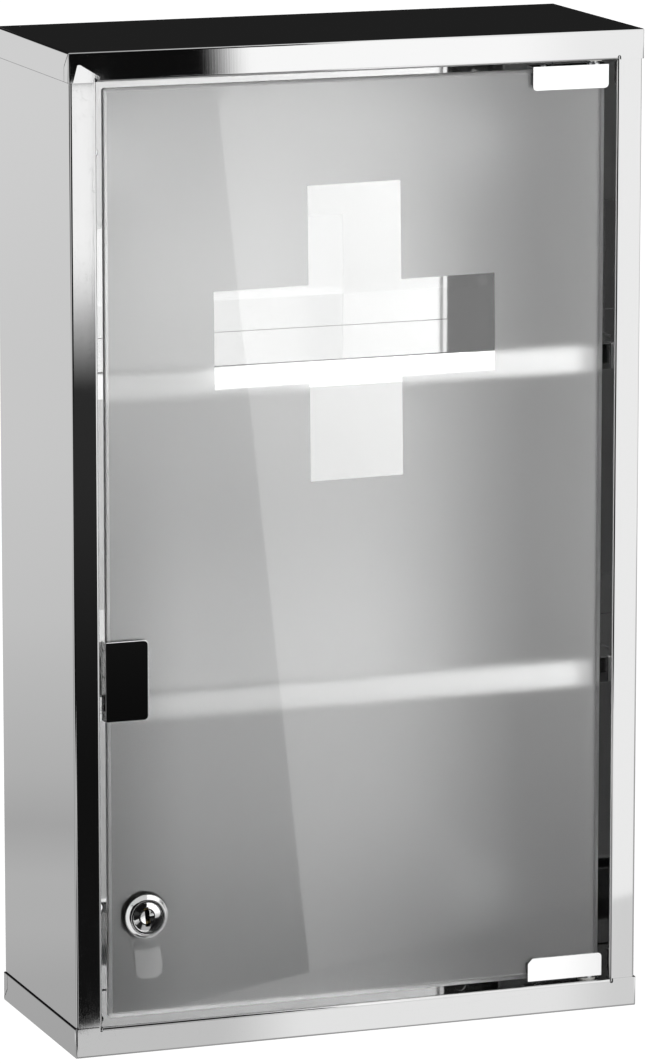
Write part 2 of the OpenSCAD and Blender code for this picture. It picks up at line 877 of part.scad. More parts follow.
// Bezel in front of the glass and threaded barrel through it, with two flats
module lock_housing() {
    seat_y = plug_face_y + plug_seat_d;
    color(chrome)
        difference() {
            union() {
                turned_y([lock_x, bezel_front_y, lock_z])
                    polygon([
                        [0, 0], [bezel_rim_r, 0], [bezel_r, bezel_h - gasket_t - bezel_step],
                        [bezel_r, bezel_h - gasket_t], [0, bezel_h - gasket_t]
                    ]);
                intersection() {
                    bore_y([lock_x, bezel_rear_y - eps, lock_z],
                        barrel_r, barrel_rear_y - bezel_rear_y + eps);
                    translate([lock_x, (bezel_rear_y + barrel_rear_y) / 2, lock_z])
                        cube([barrel_flats, barrel_rear_y - bezel_rear_y + 2, 2 * barrel_r + 2],
                            center = true);
                }
            }
            bore_y([lock_x, bezel_front_y - 1, lock_z],
                plug_face_r + plug_face_fit, seat_y - bezel_front_y + 1);
            bore_y([lock_x, bezel_front_y, lock_z], plug_r + run_fit, barrel_rear_y - bezel_front_y + 1);
        }
}

module ring_y(y, r_in, r_out, t) {
    turned_y([lock_x, y, lock_z])
        translate([r_in, 0])
            square([r_out - r_in, t]);
}

module lock_gasket() {
    color(nylon)
        ring_y(bezel_rear_y, barrel_r + 0.1, bezel_r - 0.6, gasket_t);
}

module lock_washer() {
    color(nylon)
        ring_y(frost_rear_y, barrel_r + 0.1, washer_r, washer_t);
}

module lock_nut() {
    color(chrome)
        difference() {
            translate([lock_x, washer_rear_y, lock_z])
                rotate([-90, 30, 0])
                    cylinder(r = nut_af / sqrt(3), h = nut_t, $fn = 6);
            bore_y([lock_x, washer_rear_y - 1, lock_z], barrel_r + 0.05, nut_t + 2);
        }
}

// Everything that turns with the key is drawn upright and then turned by key_tilt
module on_lock_axis() {
    translate([lock_x, 0, lock_z])
        rotate([0, -key_tilt, 0])
            children();
}

module lock_plug() {
    shank_y = plug_face_y + plug_seat_d - 0.1;
    color(chrome)
        on_lock_axis()
            difference() {
                union() {
                    turned_y([0, plug_face_y, 0])
                        polygon([
                            [0, plug_dish_d * 0.3], [plug_boss_r, plug_dish_d * 0.3],
                            [plug_boss_r, plug_dish_d], [plug_boss_r + 0.8, plug_dish_d],
                            [plug_face_r - plug_rim_w, 0.15], [plug_face_r - plug_rim_w, 0],
                            [plug_face_r, 0], [plug_face_r, plug_seat_d - 0.1], [0, plug_seat_d - 0.1]
                        ]);
                    bore_y([0, shank_y - eps, 0], plug_r, barrel_rear_y - shank_y + eps);
                    translate([-tang_a / 2, barrel_rear_y - eps, -tang_a / 2])
                        cube([tang_a, tang_l + eps, tang_a]);
                }
                translate([-keyway_w / 2, plug_face_y - 1, -keyway_h / 2])
                    cube([keyway_w, plug_dish_d + 1.6, keyway_h]);
                translate([-keyway_w / 2, plug_face_y - 1, -plug_r * 0.7])
                    cube([keyway_w, keyway_d / 2 + 1, plug_r * 1.4]);
                bore_y([0, barrel_rear_y + tang_l - cam_screw_l - 0.2, 0],
                    cam_screw_r + cam_screw_fit, cam_screw_l + 1);
            }
}

// Cranked cam: a flat strip folded towards the glass beyond the nut, with its square hole
module lock_cam() {
    color(chrome)
        on_lock_axis()
            difference() {
                intersection() {
                    translate([-cam_w / 2, 0, 0])
                        rotate([90, 0, 90])
                            linear_extrude(height = cam_w)
                                cam_fold();
                    across_y(cam_tip_y, cam_front_y + cam_t)
                        cam_outline();
                }
                translate([-tang_a / 2 - tang_fit, cam_front_y - 1, -tang_a / 2 - tang_fit])
                    cube([tang_a + 2 * tang_fit, cam_t + 2, tang_a + 2 * tang_fit]);
            }
}

// The strip from the side, in Y and Z: root, ramp and tip, all as thick as the sheet
module cam_fold() {
    ramp_end = -cam_root_l - cam_ramp_l;
    shift = cam_t * tan(atan2(cam_step, cam_ramp_l) / 2);
    polygon([
        [cam_front_y, cam_w], [cam_front_y, -cam_root_l], [cam_tip_y, ramp_end],
        [cam_tip_y, -cam_l - 1], [cam_tip_y + cam_t, -cam_l - 1],
        [cam_tip_y + cam_t, ramp_end - shift], [cam_front_y + cam_t, -cam_root_l - shift],
        [cam_front_y + cam_t, cam_w]
    ]);
}

// The strip from the front, in X and Z: round above the square hole, round corners at the tip
module cam_outline() {
    circle(r = cam_w / 2, $fn = fine);
    translate([cam_w / 2, 0])
        rotate(180)
            arch_rect(cam_w, cam_l, cam_w / 3);
}

module cam_screw() {
    head_y = cam_front_y + cam_t + 0.05;
    color(dark_chrome)
        on_lock_axis()
            difference() {
                union() {
                    bore_y([0, head_y - cam_screw_l, 0], cam_screw_r, cam_screw_l + eps);
                    turned_y([0, head_y, 0])
                        polygon([
                            [0, 0], [cam_screw_head_r, 0], [cam_screw_head_r, cam_screw_head_h * 0.5],
                            [cam_screw_head_r * 0.6, cam_screw_head_h], [0, cam_screw_head_h]
                        ]);
                }
                for (a = [0, 90])
                    rotate([0, a, 0])
                        translate([-2.2, head_y + cam_screw_head_h - 1, -0.5])
                            cube([4.4, 2, 1]);
            }
}

// Everything above is drawn round the middle of the cabinet. This moves it up, so that the origin
// is the middle of the four wall holes.
module from_holes() {
    translate([0, 0, hole_drop])
        children();
}

from_holes() body_wrap();
from_holes() top_cap();
from_holes() bottom_cap();
from_holes() upper_shelf();
from_holes() lower_shelf();
from_holes() top_pivot_bush();
from_holes() bottom_pivot_bush();
from_holes() catch_housing();
from_holes() catch_spring();
from_holes() catch_screws();
from_holes() catch_plunger();
from_holes() catch_magnet();
from_holes() glass_pane();
from_holes() frost_layer();
from_holes() top_hinge_clip();
from_holes() top_clip_liner();
from_holes() top_grub_screws();
from_holes() top_pivot_pin();
from_holes() top_liner_rivet();
from_holes() bottom_hinge_clip();
from_holes() bottom_clip_liner();
from_holes() bottom_grub_screws();
from_holes() bottom_pivot_pin();
from_holes() bottom_liner_rivet();
from_holes() push_plate();
from_holes() push_plate_pad();
from_holes() lock_housing();
from_holes() lock_gasket();
from_holes() lock_washer();
from_holes() lock_nut();
from_holes() lock_plug();
from_holes() lock_cam();
from_holes() cam_screw();
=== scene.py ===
# %% [markdown]
# # Steel first-aid cabinet: finishes, small trim and studio
#
# The packed model already holds every rigid piece at its true size and place: folded sheet, glass
# door, pivot hinges, catch and lock. This lesson gives those pieces their finishes, adds two small
# things that are easier to model in Blender, and builds the studio. Polished metal has no look
# of its own, it shows what stands round it, so the studio is as much a part of the finish as the
# steel is.

# %% Load the packed model
import json
import math
import random

import bpy
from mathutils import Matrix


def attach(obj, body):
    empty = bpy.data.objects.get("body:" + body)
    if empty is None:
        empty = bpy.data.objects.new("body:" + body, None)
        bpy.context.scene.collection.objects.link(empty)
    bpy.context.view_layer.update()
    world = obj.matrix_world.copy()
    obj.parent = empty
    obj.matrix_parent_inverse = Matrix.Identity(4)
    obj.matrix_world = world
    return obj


SEED = 7

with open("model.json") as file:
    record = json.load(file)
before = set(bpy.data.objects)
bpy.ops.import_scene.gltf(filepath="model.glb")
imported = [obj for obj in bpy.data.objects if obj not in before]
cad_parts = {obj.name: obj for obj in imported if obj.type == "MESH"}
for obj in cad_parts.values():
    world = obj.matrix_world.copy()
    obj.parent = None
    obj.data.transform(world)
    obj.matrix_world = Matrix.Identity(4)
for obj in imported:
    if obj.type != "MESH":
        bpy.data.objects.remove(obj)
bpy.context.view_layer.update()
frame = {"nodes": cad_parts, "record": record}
nodes = frame["nodes"]
subparts = frame["record"]["subparts"]
scene = bpy.context.scene
rng = random.Random(SEED)

# %% [markdown]
# The photograph was taken from the left and from above. It shows seven of the cabinet's eight
# corners. They were measured in pixels and a camera was fitted to them by least squares, with no lens
# shift. Only the answer is kept here: where the camera stands, how it is turned, and how long its
# lens is in pixels. Heights in this lesson are counted from the middle of the cabinet, and the
# frame's origin is the middle of the wall holes a little below it, so `MIDDLE_Z` is the step from one
# to the other.

# %% Camera
MIDDLE_Z = 0.0105
CAMERA_AT = (-1.0954, -3.0733, 0.6170)
YAW_DEG = 20.011
PITCH_DEG = -10.979
FOCAL_PX = 6486.8
PHOTO_HEIGHT_PX = 1064
SENSOR_MM = 36.0
NEAREST, FARTHEST = 0.05, 60.0

lens = bpy.data.cameras.new("studio_camera")
lens.sensor_width = SENSOR_MM
lens.lens = FOCAL_PX / PHOTO_HEIGHT_PX * SENSOR_MM
lens.clip_start, lens.clip_end = NEAREST, FARTHEST
camera = bpy.data.objects.new("studio_camera", lens)
scene.collection.objects.link(camera)
camera.location = (*CAMERA_AT[:2], CAMERA_AT[2] + MIDDLE_Z)
camera.rotation_euler = (math.radians(90.0 + PITCH_DEG), 0.0, math.radians(-YAW_DEG))
scene.camera = camera
print("lens of", round(lens.lens, 1), "mm")

# %% [markdown]
# Shader nodes are made and joined by the same few steps all through this lesson, so those steps get
# names. `Tree` wraps a node tree: `add` makes a node and sets its values, and the short methods after
# it each make one common node and give back its output.

# %% Words for building shaders
VECTORS = "ShaderNodeVectorMath"


class Tree:
    """A node tree with short names for the nodes that this lesson uses most."""

    def __init__(self, tree):
        self.tree = tree

    def add(self, kind, label="", **values):
        node = self.tree.nodes.new(kind)
        node.label = label
        for name, value in values.items():
            if hasattr(node, name):
                setattr(node, name, value)
            else:
                self.feed(value, node.inputs[name.replace("_", " ")])
        return node

    def feed(self, value, socket):
        """Joins an output to a socket, or writes a plain value into it."""
        if isinstance(value, bpy.types.NodeSocket):
            self.tree.links.new(value, socket)
        else:
            socket.default_value = value

    def math(self, operation, *values, kind="ShaderNodeMath"):
        """One step of arithmetic, with numbers or, where the kind is VECTORS, with vectors."""
        node = self.add(kind, operation=operation)
        for value, socket in zip(values, node.inputs):
            self.feed(value, socket)
        return node.outputs[0]

    def product(self, first, *others):
        for other in others:
            first = self.math("MULTIPLY", first, other)
        return first

    def plus(self, first, *others):
        for other in others:
            first = self.math("ADD", first, other)
        return first

    def minus(self, first, second):
        return self.math("SUBTRACT", first, second)

    def ramp(self, value, start, end, low=0.0, high=1.0, soft=True):
        """Low at start, high at end, and level outside them."""
        node = self.add("ShaderNodeMapRange", interpolation_type="SMOOTHSTEP" if soft else "LINEAR")
        for name, number in zip(("Value", "From Min", "From Max", "To Min", "To Max"),
                                (value, start, end, low, high)):
            self.feed(number, node.inputs[name])
        return node.outputs["Result"]

    def blend(self, factor, first, second):
        """First where the factor is 0, second where it is 1, for plain numbers."""
        node = self.add("ShaderNodeMix", data_type="FLOAT")
        for value, place in zip((factor, first, second), (0, 2, 3)):
            self.feed(value, node.inputs[place])
        return node.outputs[0]

    def tint(self, factor, colour, darker):
        """The colour where the factor is 1, and a darker tone of it where the factor is 0."""
        node = self.add("ShaderNodeMix", data_type="RGBA")
        tones = (*[c * darker for c in colour], 1.0), (*colour, 1.0)
        for value, place in zip((factor, *tones), (0, 6, 7)):
            self.feed(value, node.inputs[place])
        return node.outputs[2]

    def grey(self, level):
        """The colour whose red, green and blue are all at this level."""
        return self.add("ShaderNodeCombineColor", Red=level, Green=level, Blue=level).outputs[0]

    def vector(self):
        """Where a point lies, in the object's own axes."""
        return self.add("ShaderNodeTexCoord").outputs["Object"]

    def place(self):
        """X, Y and the height above the cabinet's middle."""
        x, y, z = self.add("ShaderNodeSeparateXYZ", Vector=self.vector()).outputs
        return x, y, self.minus(z, MIDDLE_Z)

    def facing(self):
        """The surface normal, in the object's own axes, as three numbers."""
        normal = self.add("ShaderNodeTexCoord").outputs["Normal"]
        return self.add("ShaderNodeSeparateXYZ", Vector=normal).outputs

    def tipped(self, normal, amount, x, z):
        """The normal leant to the right by x and upwards by z, where the amount is 1."""
        lean = self.add("ShaderNodeCombineXYZ", X=self.product(amount, x), Z=self.product(amount, z))
        turned = self.add("ShaderNodeVectorTransform", Vector=lean.outputs[0], vector_type="VECTOR",
                          convert_from="OBJECT", convert_to="WORLD")
        leant = self.math("ADD", normal, turned.outputs[0], kind=VECTORS)
        return self.math("NORMALIZE", leant, kind=VECTORS)

    def noise(self, vector, scale, detail=2.0, roughness=0.5):
        return self.add("ShaderNodeTexNoise", Vector=vector, Scale=scale, Detail=detail,
                        Roughness=roughness).outputs[0]

    def bump(self, height, distance, strength=1.0):
        return self.add("ShaderNodeBump", Height=height, Distance=distance, Strength=strength).outputs[0]


def new_material(name, **values):
    """A material with one Principled shader, and its plain values."""
    material = bpy.data.materials.new(name)
    material.use_nodes = True
    tree = Tree(material.node_tree)
    material.node_tree.nodes.clear()
    shader = tree.add("ShaderNodeBsdfPrincipled")
    output = tree.add("ShaderNodeOutputMaterial")
    tree.feed(shader.outputs[0], output.inputs["Surface"])
    for name, value in values.items():
        if name == "Base_Color" and not isinstance(value, tuple):
            value = (value, value, value, 1.0)
        tree.feed(value, shader.inputs[name.replace("_", " ")])
    return material, tree, shader


print("words of a tree:", *[word for word in vars(Tree) if not word.startswith("_")])

# %% [markdown]
# Finishes come first. Everything that is polished shares one effect, so it becomes a node group: thin
# sheet is never quite flat, a polishing wheel leaves fine lines, and hands leave faint smears. The
# group gives back a height for the bump and a roughness. It could be drawn for each metal anew, but
# then the metals would drift apart when one of them is tuned.

# %% Shared effect: polished sheet
WAVE_SCALE = 6.0                    # of the slow waves in the sheet, per metre
LINE_HEIGHT = 0.010                 # of the polishing lines, beside 1 for the waves
SMEAR_SCALE, SMEARED = 14.0, (0.50, 0.74)
HAIR_SCALE, HAIR_HALF_WIDTH = 55.0, 0.006
MARK_ROUGHNESS = 0.020              # what smears, lines and hairs each add at most
SHEET_WAVE = 0.00010                # depth of the bump on sheet, in metres


def group_of(name, inputs, outputs):
    """A node group with the float or vector inputs and float outputs named."""
    group = bpy.data.node_groups.new(name, "ShaderNodeTree")
    for label, kind in inputs:
        group.interface.new_socket(name=label, in_out="INPUT", socket_type=kind)
    for label in outputs:
        group.interface.new_socket(name=label, in_out="OUTPUT", socket_type="NodeSocketFloat")
    tree = Tree(group)
    return group, tree, tree.add("NodeGroupInput").outputs, tree.add("NodeGroupOutput").inputs


polish, t, given, result = group_of(
    "polished_sheet",
    [("Place", "NodeSocketVector"), ("Grain", "NodeSocketVector"), ("Base Roughness", "NodeSocketFloat")],
    ["Height", "Roughness"],
)
waves = t.noise(given["Place"], WAVE_SCALE, detail=1.0)
stretched = t.math("MULTIPLY", given["Place"], given["Grain"], kind=VECTORS)
lines = t.noise(stretched, 1.0, detail=3.0, roughness=0.6)
smears = t.ramp(t.noise(given["Place"], SMEAR_SCALE, detail=5.0, roughness=0.62), *SMEARED)
hairs = t.noise(given["Place"], HAIR_SCALE, detail=4.0, roughness=0.55)
hair = t.ramp(t.math("ABSOLUTE", t.minus(hairs, 0.5)), 0.0, HAIR_HALF_WIDTH, 1.0, 0.0)
t.feed(t.plus(waves, t.product(lines, LINE_HEIGHT)), result["Height"])
marks = [t.product(mark, MARK_ROUGHNESS) for mark in (smears, lines, hair)]
t.feed(t.plus(given["Base Roughness"], *marks), result["Roughness"])
print("polished_sheet has", len(polish.nodes), "nodes")


def polished(name, colour, base_roughness, grain, wave=SHEET_WAVE):
    """A polished metal: its colour, its roughness, and how its polishing lines are stretched."""
    material, tree, shader = new_material(name, Base_Color=colour, Metallic=1.0)
    effect = tree.add("ShaderNodeGroup", "polish", node_tree=polish)
    for label, value in (("Place", tree.vector()), ("Grain", grain), ("Base Roughness", base_roughness)):
        tree.feed(value, effect.inputs[label])
    normal = tree.bump(effect.outputs["Height"], wave)
    tree.feed(effect.outputs["Roughness"], shader.inputs["Roughness"])
    tree.feed(normal, shader.inputs["Normal"])
    return material, tree, shader, normal


# %% [markdown]
# The cabinet is stainless sheet polished to a mirror before it is folded. Its lines run upright on
# the body and the caps. Inside the folded edge of each cap a thin shadow line shows where the skirt
# ends over the body; it is too fine to see as geometry from where the camera stands, so the sheet
# darkens in the last half millimetre before that edge.
#
# Two more things here follow the photograph, one by shading and one by painted shade. The front skirts of
# the shelves show through the frosting as pale bands, so their normals are tipped upwards by about three
# degrees, towards the bright part of the studio. And the photograph is darker inside the bottom cap than
# the bright studio would make it, so those faces carry a painted shade: their colour is darker.

# %% Stainless steel
STEEL, SHELF_STEEL = 0.60, 0.90
SHEET_ROUGHNESS, SHELF_ROUGHNESS, CAP_ROUGHNESS = 0.020, 0.035, 0.010
UPRIGHT_GRAIN = (1500.0, 1500.0, 40.0)
FLAT_GRAIN = (40.0, 1500.0, 1500.0)
HALF_HEIGHT = 0.250
SKIRT = 0.015
SEAM, SEAM_SHADE = 0.0005, 0.85
SHELF_LEAN = 0.050                  # tangent of the angle by which the skirts' normals are tipped
INSIDE_Y = (-0.1188, -0.1182)       # behind the second of these a cap's face lies inside it
# painted shade inside the bottom cap: how much it darkens the colour there
BOTTOM_PAINTED_SHADE = 0.38
# The rest are values of one part of the normal, between which a face begins to count as of its kind.
FRONT = (-0.9, -0.98)
SIDE = (0.6, 0.9)
NOT_BELOW = (-0.6, -0.4)
NOT_BEHIND = (0.6, 0.4)

steel, *_ = polished("polished_steel", STEEL, SHEET_ROUGHNESS, UPRIGHT_GRAIN)
shelf_steel, t, shader, normal = polished("shelf_steel", SHELF_STEEL, SHELF_ROUGHNESS, FLAT_GRAIN)
skirt_face = t.ramp(t.facing()[1], *FRONT)
t.feed(t.tipped(normal, skirt_face, 0.0, SHELF_LEAN), shader.inputs["Normal"])


def cap_steel(name, sign, painted_inside_shade):
    """Steel for a cap, with a painted shadow line at its free edge and a painted shade of the given
    strength on the faces inside it; sign is 1 for the top cap.
    """
    material, tree, shader, normal = polished(name, STEEL, CAP_ROUGHNESS, UPRIGHT_GRAIN)
    _, y, z = tree.place()
    across, backwards, upwards = tree.facing()
    from_edge = tree.minus(tree.product(z, sign), HALF_HEIGHT - SKIRT)
    side = tree.ramp(tree.math("ABSOLUTE", across), *SIDE)
    seam = tree.product(tree.ramp(from_edge, 0.0, SEAM, 1.0, 0.0), side, SEAM_SHADE)
    # painted shade: faces inside the cap that face neither down nor back get a darker colour
    inside = tree.product(
        tree.ramp(y, *INSIDE_Y), tree.minus(1.0, side),
        tree.ramp(upwards, *NOT_BELOW), tree.ramp(backwards, *NOT_BEHIND), painted_inside_shade)
    level = tree.product(tree.minus(1.0, tree.math("MAXIMUM", seam, inside)), STEEL)
    tree.feed(tree.grey(level), shader.inputs["Base Color"])
    return material, tree, shader, normal


bottom_steel, *_ = cap_steel("bottom_cap_steel", -1.0, BOTTOM_PAINTED_SHADE)
print("steel made for body, shelves and bottom cap")

# %% [markdown]
# At the upper left corner the photograph shows a pale patch in the black front of the cap, with one
# slanting side. Most likely the cap is spot-welded to the body's flange behind it and the sheet is
# drawn in a little, so that the patch leans by a little over one degree and mirrors something lower
# in the room. A bump would only darken its border, so the normal itself is tipped inside the patch.

# %% Top cap, with the drawn-in patch at its weld
PATCH_LEFT, PATCH_LEFT_LEAN = -0.1477, 0.253      # left side at the skirt's edge, and how it leans
PATCH_RIGHT = -0.1340
PATCH_TOP = 0.2439
PATCH_SLOPE_FROM, PATCH_SLOPE = -0.1439, -0.626   # the slanting side starts here and falls like this
PATCH_TIP = 0.022
PATCH_SOFT = 0.0005

top_steel, t, shader, normal = cap_steel("top_cap_steel", 1.0, 0.0)
x, _, z = t.place()
up = t.minus(z, HALF_HEIGHT - SKIRT)
from_left = t.minus(t.minus(x, PATCH_LEFT), t.product(up, PATCH_LEFT_LEAN))
slant = t.plus(PATCH_TOP, t.product(t.minus(x, PATCH_SLOPE_FROM), PATCH_SLOPE))
below_slant = t.minus(t.math("MINIMUM", slant, PATCH_TOP), z)
patch = t.product(
    t.ramp(from_left, 0.0, PATCH_SOFT), t.ramp(below_slant, 0.0, PATCH_SOFT),
    t.ramp(x, PATCH_RIGHT, PATCH_RIGHT - PATCH_SOFT), t.ramp(t.facing()[1], *FRONT),
)
t.feed(t.tipped(normal, patch, 0.0, -PATCH_TIP), shader.inputs["Normal"])
print("patch runs from x", PATCH_LEFT, "to", PATCH_RIGHT)

# %% [markdown]
# The small metal parts have their own finishes. Clips and lock are bright chrome over brass or zinc.
# Screws, nut, washer and spring are zinc plated, which is duller and slightly mottled. The magnet is
# nickel plated and a little yellow.
#
# The cam is zinc plated too. It shows as a pale shape through the frosting, so its normals are tipped
# towards the bright parts of the studio: upwards on its front faces and strongly downwards on the
# ramp between them. Both amounts were chosen to match the photograph.

# %% Chrome, zinc and nickel
CHROME, CHROME_ROUGHNESS, CHROME_WAVE = 0.83, 0.045, 0.00003
CHROME_GRAIN = (700.0, 700.0, 700.0)
MOTTLE_SCALE, MOTTLED, MOTTLE_DARKER = 420.0, (0.35, 0.65), 0.86
PLATING_GRAIN_SCALE, PLATING_GRAIN = 1500.0, 0.00002
CLOUDED = (0.3, 0.7)                # most of a noise's values lie between these
CAM_LEAN, CAM_RAMP_LEAN = 0.10, -0.7
CAM_RAMP, CAM_FRONT = (0.2, 0.4), (-0.3, -0.5)

chrome, *_ = polished("chrome_plate", CHROME, CHROME_ROUGHNESS, CHROME_GRAIN, wave=CHROME_WAVE)


def plated(name, colour, low, high, lean=0.0):
    """A dull plated metal, mottled in tone and roughness; its front faces may lean upwards."""
    material, tree, shader = new_material(name, Metallic=1.0)
    vector = tree.vector()
    mottle = tree.noise(vector, MOTTLE_SCALE, detail=4.0, roughness=0.6)
    tree.feed(tree.tint(tree.ramp(mottle, *MOTTLED), colour, MOTTLE_DARKER), shader.inputs["Base Color"])
    tree.feed(tree.ramp(mottle, *CLOUDED, low, high), shader.inputs["Roughness"])
    normal = tree.bump(tree.noise(vector, PLATING_GRAIN_SCALE), PLATING_GRAIN)
    if lean:
        _, backwards, upwards = tree.facing()
        lean = tree.blend(tree.ramp(upwards, *CAM_RAMP), lean, CAM_RAMP_LEAN)
        normal = tree.tipped(normal, tree.ramp(backwards, *CAM_FRONT), 0.0, lean)
    tree.feed(normal, shader.inputs["Normal"])
    return material


zinc = plated("zinc_plate", (0.62, 0.63, 0.64), 0.22, 0.36)
cam_zinc = plated("cam_zinc", (0.95, 0.95, 0.95), 0.30, 0.40, lean=CAM_LEAN)
spring_wire = plated("spring_wire", (0.50, 0.50, 0.49), 0.20, 0.32)
nickel = plated("nickel_plate", (0.70, 0.67, 0.60), 0.12, 0.24)
brass = plated("brass", (0.34, 0.26, 0.12), 0.30, 0.44)
print("chrome, four platings and brass made")

# %% [markdown]
# The push plate is chromed as well, but in the photograph its front and its left face are much darker
# than the studio alone makes them, and its rounded edges stay bright. It could be given its own dark
# thing to mirror; instead a painted shade, a darker colour on those two faces, does the same without
# touching the other pieces.

# %% Chrome with painted shade for the push plate
PLATE_BRIGHT, PLATE_DARK = 0.95, 0.34
PLATE_ROUGHNESS = 0.012
PLATE_FRONT, PLATE_LEFT = (-0.97, -0.995), (-0.90, -0.95)   # parts of the normal, as for the steel

chrome_with_painted_shade, t, shader, _ = polished(
    "chrome_with_painted_shade", PLATE_BRIGHT, PLATE_ROUGHNESS, CHROME_GRAIN, wave=CHROME_WAVE)
across, backwards, _ = t.facing()
# painted shade: the front and left faces get a darker colour in place of a dark reflection
painted_shade_faces = t.math("MAXIMUM", t.ramp(backwards, *PLATE_FRONT), t.ramp(across, *PLATE_LEFT))
t.feed(t.grey(t.blend(painted_shade_faces, PLATE_BRIGHT, PLATE_DARK)), shader.inputs["Base Color"])
print("push plate is", PLATE_DARK, "on its front and left")

# %% [markdown]
# The face of the lock's plug is dark on its left and light on its right, and round the keyway it is
# the other way about. A dished face would mirror the studio the wrong way round, so the ring of the
# real lock probably swells a little and its middle is probably hollow. That is a guess about a few
# tenths of a millimetre, and here the normal alone tells it. Deep in the keyway a painted shade darkens
# the colour.

# %% Chrome for the lock's plug
LOCK_X, LOCK_Z = -0.1113, -0.1815
PLUG_FACE_Y = -0.11715
PLUG_MIDDLE_R, PLUG_MIDDLE_SOFT = 0.0036, 0.0001
PLUG_FRONT = (-0.75, -0.85)
PLUG_MIRROR = -2.0            # this much of a normal's own lean, added to it, turns it the other way
PLUG_HOLLOW = 110.0           # how fast the middle leans towards the lock's axis, per metre
KEYWAY_DEPTH, KEYWAY_SHADE = (0.0017, 0.0020), 0.80

plug_chrome, t, shader, normal = polished(
    "plug_chrome", CHROME, CHROME_ROUGHNESS, CHROME_GRAIN, wave=CHROME_WAVE)
x, y, z = t.place()
nx, ny, nz = t.facing()
dx, dz = t.minus(x, LOCK_X), t.minus(z, LOCK_Z)
radius = t.math("POWER", t.plus(t.product(dx, dx), t.product(dz, dz)), 0.5)
middle = t.ramp(radius, PLUG_MIDDLE_R, PLUG_MIDDLE_R - PLUG_MIDDLE_SOFT)
leans = [t.blend(middle, t.product(own, PLUG_MIRROR), t.product(offset, -PLUG_HOLLOW))
         for own, offset in ((nx, dx), (nz, dz))]
t.feed(t.tipped(normal, t.ramp(ny, *PLUG_FRONT), *leans), shader.inputs["Normal"])
# painted shade: the colour darkens deep inside the keyway
keyway_painted_shade = t.ramp(y, *[PLUG_FACE_Y + depth for depth in KEYWAY_DEPTH])
t.feed(t.grey(t.minus(CHROME, t.product(keyway_painted_shade, KEYWAY_SHADE))), shader.inputs["Base Color"])
print("plug leans inwards inside a radius of", PLUG_MIDDLE_R)

# %% [markdown]
# Nylon bushes, the white catch housing and the grey liners are moulded. Moulded plastic is even in
# colour, with a fine mould grain in its surface. The liner is soft PVC, so it is rougher and darker.

# %% Plastics
PLASTIC_CLOUD_SCALE, PLASTIC_DARKER = 90.0, 0.94
PLASTIC_SPREAD = (0.9, 1.1)         # of the roughness, from cloud to cloud


def moulded(name, colour, roughness, grain_scale, grain_depth):
    """A moulded plastic, faintly clouded in tone and roughness, with a fine grain."""
    material, tree, shader = new_material(name)
    vector = tree.vector()
    cloud = tree.noise(vector, PLASTIC_CLOUD_SCALE, detail=3.0)
    tree.feed(tree.tint(tree.ramp(cloud, *CLOUDED), colour, PLASTIC_DARKER), shader.inputs["Base Color"])
    spread = [roughness * share for share in PLASTIC_SPREAD]
    tree.feed(tree.ramp(cloud, *CLOUDED, *spread), shader.inputs["Roughness"])
    tree.feed(tree.bump(tree.noise(vector, grain_scale), grain_depth), shader.inputs["Normal"])
    return material


nylon = moulded("nylon", (0.82, 0.81, 0.77), 0.42, 1800.0, 0.00002)
white_plastic = moulded("white_plastic", (0.80, 0.80, 0.79), 0.38, 1400.0, 0.00003)
soft_liner = moulded("soft_liner", (0.20, 0.20, 0.205), 0.62, 1600.0, 0.00005)
print("three plastics made")

# %% [markdown]
# The pane is 4 mm float glass, clear and flat, with a ground bevel round its edge. Grinding leaves
# the bevel and the edge matt, so they turn rough wherever the surface doesn't face straight forwards
# or back. Float glass has an index of refraction of about 1.52. The value here is set a little
# higher, which strengthens its reflections.

# %% Glass
GLASS_TONE = (0.995, 0.998, 0.996, 1.0)
GLASS_IOR = 1.62
FLAT_FACE = (0.985, 0.998)          # part of the normal, as for the steel
GROUND_ROUGHNESS, GROUND_GRAIN_SCALE, GROUND_GRAIN = 0.36, 900.0, 0.00004
FINGER_SCALE, FINGERED, FINGER_ROUGHNESS = 9.0, (0.55, 0.8), 0.004

glass, t, shader = new_material(
    "clear_glass", Base_Color=GLASS_TONE, Transmission_Weight=1.0, IOR=GLASS_IOR)
vector = t.vector()
flat = t.ramp(t.math("ABSOLUTE", t.facing()[1]), *FLAT_FACE)
smear = t.ramp(t.noise(vector, FINGER_SCALE, detail=4.0, roughness=0.6), *FINGERED, 0.0, FINGER_ROUGHNESS)
t.feed(t.blend(flat, GROUND_ROUGHNESS, smear), shader.inputs["Roughness"])
grain = t.blend(flat, GROUND_GRAIN, 0.0)
t.feed(t.bump(t.noise(vector, GROUND_GRAIN_SCALE), grain), shader.inputs["Normal"])
print("glass is ground where it doesn't face forwards or back")

# %% [markdown]
# The rear of the pane is frosted. The real frosting is one rough face, and so is this one: the thin
# layer is smooth towards the glass and rough towards the cabinet, and it scatters what lies behind it
# by a few degrees, so that a shelf close behind still shows as a soft band. In the photograph the
# frosting grows darker towards the lower left, and here a painted shade in its colour does the same.

# %% Frosting
FROST_MIDDLE_Y, FROST_STEP = -0.11005, 0.00001
FROST_ROUGHNESS, GRIT_ROUGHNESS, CLOUD_ROUGHNESS = 0.68, 0.05, 0.04
FROST_GREY = (0.93, 1.0)
GRIT_SCALE, GRIT_DEPTH, FROST_CLOUD_SCALE = 1600.0, 0.00002, 11.0
PAINTED_SHADE_X, PAINTED_SHADE_Z, PAINTED_SHADE = (-0.085, -0.131), (0.12, -0.10), 0.26

